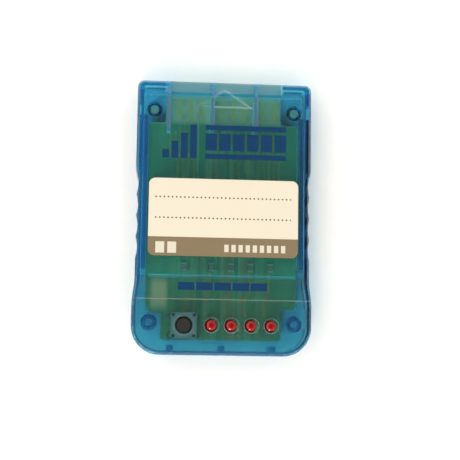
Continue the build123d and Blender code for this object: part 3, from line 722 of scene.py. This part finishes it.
class CARD_OT_board(bpy.types.Operator):
    """Dress the circuit board and add copper, traces and solder"""

    bl_idname = "card.board"
    bl_label = "Circuit board"

    def execute(self, context):
        colours, sizes = context.scene.card_colours, context.scene.card_sizes
        low, high = (Vector(c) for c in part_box("circuit_board"))
        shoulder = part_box("case_screws")[0][1] - 0.65 * MM
        dress(NODES["circuit_board"], coated_laminate(colours.board_green, colours.board_bare, shoulder))
        top, skin = high.z, high.z + sizes.copper

        # Copper under the coat: a tan line, smoother than the coat over laminate
        masked = grained_finish("copper_trace_coated", "#a99a66", "#8f8f5c", 2.0, 0.3, bump_depth=0.004)
        bm = bmesh.new()
        leds = [centre_of(name) for name in LED_NODES]
        resistors = [centre_of(name) for name in RESISTOR_NODES[1:]]
        # Each LED's trace leaves its resistor, slants aside half way and stops short of the lens
        leave, slant_from, slant_to, aside, stop = (mm * MM for mm in (-1.2, 0.4, -0.8, -1.0, 2.4))
        led_trace = sizes.trace * 1.6
        for start, end in zip(resistors, leds):
            turn_y, lane = (start.y + end.y) / 2, end.x + aside
            run = [(start.x, start.y + leave), (start.x, turn_y + slant_from)]
            run += [(lane, turn_y + slant_to), (lane, end.y + stop)]
            add_strip(bm, run, led_trace, top, skin)
        # Lanes from the chips to the contacts: (first x, spacing, how many, sideways step), in millimetres
        first_y, bend_y, last_y = 9.5, 14.0, 21.0
        for first, spacing, count, step in ((2.2, 1.5, 5, 1.4), (-11.0, 1.3, 4, -1.8), (9.6, 1.2, 4, 1.0)):
            for k in range(count):
                x = first + spacing * k
                run = [(x, first_y), (x, bend_y), (x + step, bend_y + abs(step)), (x + step, last_y)]
                add_strip(bm, [(across * MM, along * MM) for across, along in run], sizes.trace, top, skin)
        keep_piece(bm, "board_traces", masked)

        # A broad copper pour under the coat, beside the button
        x, y, wide, long = (mm * MM for mm in (-14.5, -17.7, 5.2, 9.4))
        pour = coated_pour(colours.board_green, (x, y), (wide / 2, long / 2))
        bm = bmesh.new()
        side = x + wide / 2
        add_strip(bm, [(side, y + long / 2), (side, y - long / 2)], wide, top, skin)
        keep_piece(bm, "copper_pour", pour)

        # Lands above the contacts: copper under gold flash, dull
        lands = grained_finish("gold_flash_land_dull", "#e2bd7c", "#c9a567", 0.8, 0.45, bump_depth=0.004)
        bm = bmesh.new()
        land, margin = 1.0 * MM, 0.8 * MM
        for name in CONTACT_NODES:
            x = centre_of(name).x - land / 2
            add_strip(bm, [(x, shoulder + margin), (x, high.y - margin)], land, top, skin)
        keep_piece(bm, "contact_lands", lands)

        # Solder, tin alloy, set bright: a small cone round each lead below the board
        solder = grained_finish("solder_tin_bright", "#c9c8c4", "#a9a8a5", 0.4, 0.22, metallic=1.0)
        bm = bmesh.new()
        led_lead = 1.0 * MM
        spots = [(lens.x, lens.y + side * led_lead) for lens in leds for side in (-1, 1)]
        near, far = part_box("switch_terminals")
        half_thick, half_wide = 0.15 * MM, 0.35 * MM
        for x in (near[0] + half_thick, far[0] - half_thick):
            for y in (near[1] + half_wide, far[1] - half_wide):
                spots.append((x, y))
        # Outline of a joint in millimetres, from its tip to the board
        cone = [(0.0, -0.56), (0.33, -0.52), (0.42, -0.34), (0.62, -0.13), (0.85, -0.01), (0.0, -0.01)]
        for x, y in spots:
            add_turned(bm, [(r * MM, z * MM) for r, z in cone], (x, y, low.z), steps=20)
        keep_piece(bm, "solder_joints", solder, smooth=50)
        return {"FINISHED"}


class CARD_OT_contacts(bpy.types.Operator):
    """Dress the gold edge contacts"""

    bl_idname = "card.contacts"
    bl_label = "Edge contacts"

    def execute(self, context):
        # Gold flash over nickel, plated: warm mirror, a little worn by sliding
        gold = grained_finish(
            "gold_flash_plated", "#e8c271", "#d0a651", 0.8, 0.25, metallic=1.0, bump_depth=0.003
        )
        for name in CONTACT_NODES:
            dress(NODES[name], gold)
        return {"FINISHED"}


class CARD_OT_leds(bpy.types.Operator):
    """Build the smooth LED lenses and the lead frames inside them"""

    bl_idname = "card.leds"
    bl_label = "LEDs"

    def execute(self, context):
        red = red_epoxy()
        # Tin plate on the lead frames: pale grey and satin
        tin = grained_finish("lead_frame_tin_plate", "#d5d3ce", "#bdbbb6", 0.3, 0.3, metallic=1.0)
        lenses, frames = bmesh.new(), bmesh.new()
        barrel, flange_height, dome = 1.15 * MM, 1.2 * MM, 2.3 * MM
        half_post, foot, post_edge, within_box = 0.22, 0.02, 0.08 * MM, 0.985
        for name in LED_NODES:
            low, high = (Vector(c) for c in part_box(name))
            spot = Vector(((low.x + high.x) / 2, (low.y + high.y) / 2, low.z))
            flange = (high.x - low.x) / 2 * within_box
            old = set(lenses.verts) | set(lenses.edges)
            # The dome's outline is a point swung about the dome's centre; barrel and flange follow
            tip = lenses.verts.new((spot.x, spot.y, high.z))
            swung = bmesh.ops.spin(
                lenses,
                geom=[tip],
                cent=(spot.x, spot.y, high.z - dome),
                axis=(0, 1, 0),
                angle=math.asin(barrel / dome),
                steps=8,
            )
            last = [g for g in swung["geom_last"] if isinstance(g, bmesh.types.BMVert)][0]
            for r, z in ((barrel, flange_height), (flange, flange_height), (flange, 0.0), (0.0, 0.0)):
                corner = lenses.verts.new(spot + Vector((r, 0, z)))
                lenses.edges.new((last, corner))
                last = corner
            outline = [g for g in list(lenses.verts) + list(lenses.edges) if g not in old]
            bmesh.ops.spin(
                lenses, geom=outline, cent=spot, axis=(0, 0, 1), angle=2 * math.pi, steps=40, use_merge=True
            )
            # The two posts of the lead frame, in millimetres: (from y, to y, height)
            for low_y, high_y, tall in ((0.2, 0.95, 2.2), (-0.95, -0.12, 2.6)):
                near, far = Vector((-half_post, low_y, foot)) * MM, Vector((half_post, high_y, tall)) * MM
                add_block(frames, spot + near, spot + far, post_edge)
        keep_piece(lenses, "led_lenses", red, smooth=40, instead_of=LED_NODES)
        keep_piece(frames, "led_frames", tin, smooth=40)
        for name in NODES:
            if name.startswith("led_leads"):
                dress(NODES[name], tin)
        return {"FINISHED"}


class CARD_OT_switch(bpy.types.Operator):
    """Dress the push switch and build the domed snap disc under its button"""

    bl_idname = "card.switch"
    bl_label = "Push switch"

    def execute(self, context):
        # Nylon, black, moulded with a fine spark-eroded grain: soft satin
        cap = grained_finish("nylon_black_satin", "#24221e", "#1a1916", 0.25, 0.55, bump_depth=0.02, ior=1.4)
        # Nylon, black, moulded: dull, with a coarser grain
        body = grained_finish("nylon_black_moulded", "#262827", "#1b1c1c", 0.4, 0.55, bump_depth=0.02)
        # Rolled steel, stamped: dull grey
        steel = grained_finish("rolled_steel_dull", "#b8b2a6", "#a29c90", 0.2, 0.65, metallic=1.0)
        # Tin plate on the terminals: pale grey and satin
        tin = grained_finish("terminal_tin_plate", "#d0cec9", "#b5b3ae", 0.3, 0.32, metallic=1.0)
        dress(NODES["switch_plunger"], cap)
        dress(NODES["switch_base"], body)
        dress(NODES["switch_cover"], steel)
        dress(NODES["switch_terminals"], tin)
        # Spring steel, stamped and polished: a thin disc, domed at rest
        spring = grained_finish("spring_steel_polished", "#cfcdc8", "#b8b6b1", 0.3, 0.25, metallic=1.0)
        low, high = (Vector(c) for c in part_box("switch_dome"))
        foot = Vector(((low.x + high.x) / 2, (low.y + high.y) / 2, low.z))
        reach, rise, sheet = (high.x - low.x) / 2, high.z - low.z, 0.08 * MM
        # Shares of the reach and of the rise along the disc's upper side
        upper = [(r * reach, z * rise) for r, z in ((0.0, 0.985), (0.42, 0.87), (0.75, 0.54), (1.0, 0.12))]
        lower = [(r, z - sheet) for r, z in reversed(upper)]
        bm = bmesh.new()
        add_turned(bm, upper + lower, foot, steps=40)
        disc = keep_piece(bm, "snap_disc", spring, smooth=60, instead_of=["switch_dome"])
        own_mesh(disc)
        return {"FINISHED"}


class CARD_OT_chips(bpy.types.Operator):
    """Dress the chips, resistors and capacitors"""

    bl_idname = "card.chips"
    bl_label = "Chips and small parts"

    def execute(self, context):
        # Moulded epoxy: dull black with a sandy grain
        epoxy = grained_finish("epoxy_black_moulded", "#2f2f31", "#1f1f21", 0.15, 0.5, bump_depth=0.015)
        # Tin plate: pale grey, softly bright
        tin = grained_finish("chip_lead_tin_plate", "#d3d1cc", "#b9b7b2", 0.3, 0.45, metallic=1.0)
        # Glazes: brown glass over the resistors, tan fired ceramic on the capacitors
        glaze = grained_finish("resistor_overglaze_brown", "#a89468", "#8d7b55", 0.3, 0.3, ior=1.52)
        fired = grained_finish("capacitor_ceramic_tan", "#b08d66", "#957450", 0.3, 0.4, ior=1.6)
        for name, node in NODES.items():
            if name.endswith("_chip"):
                dress(node, epoxy)
            elif name in ("memory_leads", "controller_leads", "resistor_ends", "capacitor_ends"):
                dress(node, tin)
            elif name.startswith("resistor_"):
                dress(node, glaze)
            elif name.startswith("capacitor_"):
                dress(node, fired)
        return {"FINISHED"}


class CARD_OT_screws(bpy.types.Operator):
    """Dress the housing screws and cut their threads"""

    bl_idname = "card.screws"
    bl_label = "Screws"

    def execute(self, context):
        # Plated steel under a bronze-tinted film: brown and dull, half metal and half film to the eye
        plated = grained_finish("plated_steel_bronze", "#d0a27c", "#ad8462", 0.5, 0.65, metallic=0.4)
        dress(NODES["case_screws"], plated)
        low, high = (Vector(c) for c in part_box("case_screws"))
        head, shank_start = 1.5 * MM, 1.9 * MM
        turns, per_turn, pitch = 7, 20, 0.55 * MM
        bm = bmesh.new()
        for x in (low.x + head, high.x - head):
            axis = Vector((x, (low.y + high.y) / 2, low.z + shank_start))
            # A three-cornered ridge climbs the shank
            ridge = [(0.9, 0.0), (0.985, 0.14), (0.9, 0.28)]
            verts = [bm.verts.new(axis + Vector((r, 0, z)) * MM) for r, z in ridge]
            edges = [bm.edges.new((verts[k - 1], verts[k])) for k in range(3)]
            bmesh.ops.spin(
                bm,
                geom=verts + edges,
                cent=axis,
                axis=(0, 0, 1),
                dvec=(0, 0, pitch / per_turn),
                angle=2 * math.pi * turns,
                steps=turns * per_turn,
            )
        bmesh.ops.holes_fill(bm, edges=[e for e in bm.edges if e.is_boundary], sides=3)
        keep_piece(bm, "screw_threads", plated, smooth=40)
        return {"FINISHED"}


class CARD_OT_label(bpy.types.Operator):
    """Dress the paper label"""

    bl_idname = "card.label"
    bl_label = "Label"

    def execute(self, context):
        colours = context.scene.card_colours
        dress(NODES["label"], printed_paper(colours.paper, colours.band))
        return {"FINISHED"}


class CARD_OT_print(bpy.types.Operator):
    """Print a plain block meter and a stripe on the face"""

    bl_idname = "card.print"
    bl_label = "Face print"

    def execute(self, context):
        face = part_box("top_shell")[1][2]
        gap = 0.002 * MM
        low, high = face + gap, face + context.scene.card_sizes.ink_film
        # Rows of blocks in millimetres: (first x, y, width, height, step, growth of the height, how many)
        rows = (
            (-14.5, 13.55, 1.6, 2.05, 2.15, 2.0, 4),  # rising bars
            (-4.5, 20.4, 19.0, 1.2, 0.0, 0.0, 1),  # upper rail of the meter
            (-4.5, 13.55, 19.0, 1.2, 0.0, 0.0, 1),  # lower rail of the meter
            (-4.5, 15.5, 2.7, 4.1, 3.26, 0.0, 6),  # cells of the meter
            (-10.2, -17.15, 3.8, 1.8, 4.18, 0.0, 5),  # stripe
        )
        bm = bmesh.new()
        for first, y, wide, tall, step, growth, count in rows:
            for k in range(count):
                x, top = first + step * k, y + tall + growth * k
                add_block(bm, (x * MM, y * MM, low), ((x + wide) * MM, top * MM, high))
        keep_piece(bm, "face_print", navy_ink(context.scene.card_colours.ink))
        return {"FINISHED"}


class CARD_OT_stage(bpy.types.Operator):
    """Set the floor, the light and the camera"""

    bl_idname = "card.stage"
    bl_label = "Studio stage"

    def execute(self, context):
        scene = context.scene
        scene.view_settings.view_transform = "Standard"
        scene.view_settings.look = "None"
        # White paper sweep: matt, with a faint tooth
        paper = grained_finish("white_paper_sweep", "#f8f8f8", "#f4f4f4", 3.0, 0.9, ior=1.4)
        half_floor, below = 1.5, Matrix.Translation((0, 0, -0.1 * MM))
        bm = bmesh.new()
        bmesh.ops.create_grid(bm, x_segments=1, y_segments=1, size=half_floor, matrix=below)
        mesh = bpy.data.meshes.new("floor")
        bm.to_mesh(mesh)
        bm.free()
        floor = bpy.data.objects.new("floor", mesh)
        scene.collection.objects.link(floor)
        dress(floor, paper)

        world = bpy.data.worlds.new("soft_room")
        scene.world = world
        world.use_nodes = True
        tree = world.node_tree
        sky = put(tree, "ShaderNodeTexCoord").outputs["Generated"]
        up = put(tree, "ShaderNodeSeparateXYZ", {"Vector": sky}).outputs["Z"]
        to_left = (-0.87, -0.5, 0.0)
        side = put(
            tree, "ShaderNodeVectorMath", {0: sky, 1: to_left}, operation="DOT_PRODUCT"
        ).outputs["Value"]
        # Light of the room: (direction, from, to, strength at from, strength at to), all multiplied
        room = (
            (up, 0.8, 0.93, 1.72, 0.12),  # a dim ceiling, so the face of the card keeps its colour
            (up, 0.05, 0.5, 0.35, 1.0),  # walls that darken towards the floor
            (side, -1.0, 1.0, 0.55, 1.45),  # brighter on the left than on the right
        )
        light = 1.0
        for direction, first, last, at_first, at_last in room:
            level = put(
                tree,
                "ShaderNodeMapRange",
                {
                    "Value": direction,
                    "From Min": first,
                    "From Max": last,
                    "To Min": at_first,
                    "To Max": at_last,
                },
            )
            light = put(
                tree, "ShaderNodeMath", {0: light, 1: level.outputs["Result"]}, operation="MULTIPLY"
            ).outputs["Value"]
        back = tree.nodes["Background"]
        back.inputs["Color"].default_value = linear("#fffaf4")
        tree.links.new(light, back.inputs["Strength"])

        # A small window, low on the left behind the grip end, gives the glints
        lamp = bpy.data.lights.new("window", "AREA")
        lamp.shape = "SQUARE"
        lamp.size, lamp.energy = 0.09, 0.5
        window = bpy.data.objects.new("window", lamp)
        scene.collection.objects.link(window)
        window.location = (-0.119, -0.338, 0.347)
        window.rotation_euler = (-window.location).to_track_quat("-Z", "Y").to_euler()

        # Camera fitted to the photograph's outline of the card: degrees, millimetres and pixels
        roll, lean, tip = -1.40, 4.46, -7.52
        shift, distance, focal, picture = Vector((-2.171, 2.06, 0)), 255.3, 1066.6, 460
        turn = (
            Matrix.Rotation(math.radians(roll), 3, "Z")
            @ Matrix.Rotation(math.radians(lean), 3, "Y")
            @ Matrix.Rotation(math.radians(tip), 3, "X")
        ).transposed()
        view = bpy.data.cameras.new("photo_view")
        view.lens = focal / picture * view.sensor_width
        view.clip_start, view.clip_end = 0.01, 10
        camera = bpy.data.objects.new("photo_view", view)
        scene.collection.objects.link(camera)
        place = turn @ (Vector((0, 0, distance)) - shift) * MM
        camera.matrix_world = Matrix.Translation(place) @ turn.to_4x4()
        scene.camera = camera
        return {"FINISHED"}


OPERATORS = (
    CARD_OT_shell,
    CARD_OT_board,
    CARD_OT_contacts,
    CARD_OT_leds,
    CARD_OT_switch,
    CARD_OT_chips,
    CARD_OT_screws,
    CARD_OT_label,
    CARD_OT_print,
    CARD_OT_stage,
)


class CARD_PT_panel(bpy.types.Panel):
    """Lists the steps that dress the memory card"""

    bl_idname = "CARD_PT_panel"
    bl_label = "Memory card"
    bl_space_type = "VIEW_3D"
    bl_region_type = "UI"
    bl_category = "Memory card"

    def draw(self, context):
        layout = self.layout
        for group in (context.scene.card_colours, context.scene.card_sizes):
            for key in group.__annotations__:
                layout.prop(group, key)
        for operator in OPERATORS:
            layout.operator(operator.bl_idname)


CLASSES = (CardColours, CardSizes) + OPERATORS + (CARD_PT_panel,)


def register():
    for cls in CLASSES:
        bpy.utils.register_class(cls)
    bpy.types.Scene.card_colours = bpy.props.PointerProperty(type=CardColours)
    bpy.types.Scene.card_sizes = bpy.props.PointerProperty(type=CardSizes)


def unregister():
    del bpy.types.Scene.card_sizes
    del bpy.types.Scene.card_colours
    for cls in reversed(CLASSES):
        bpy.utils.unregister_class(cls)


def main():
    register()
    for operator in OPERATORS:
        group, name = operator.bl_idname.split(".")
        getattr(getattr(bpy.ops, group), name)()


if __name__ == "__main__":
    main()
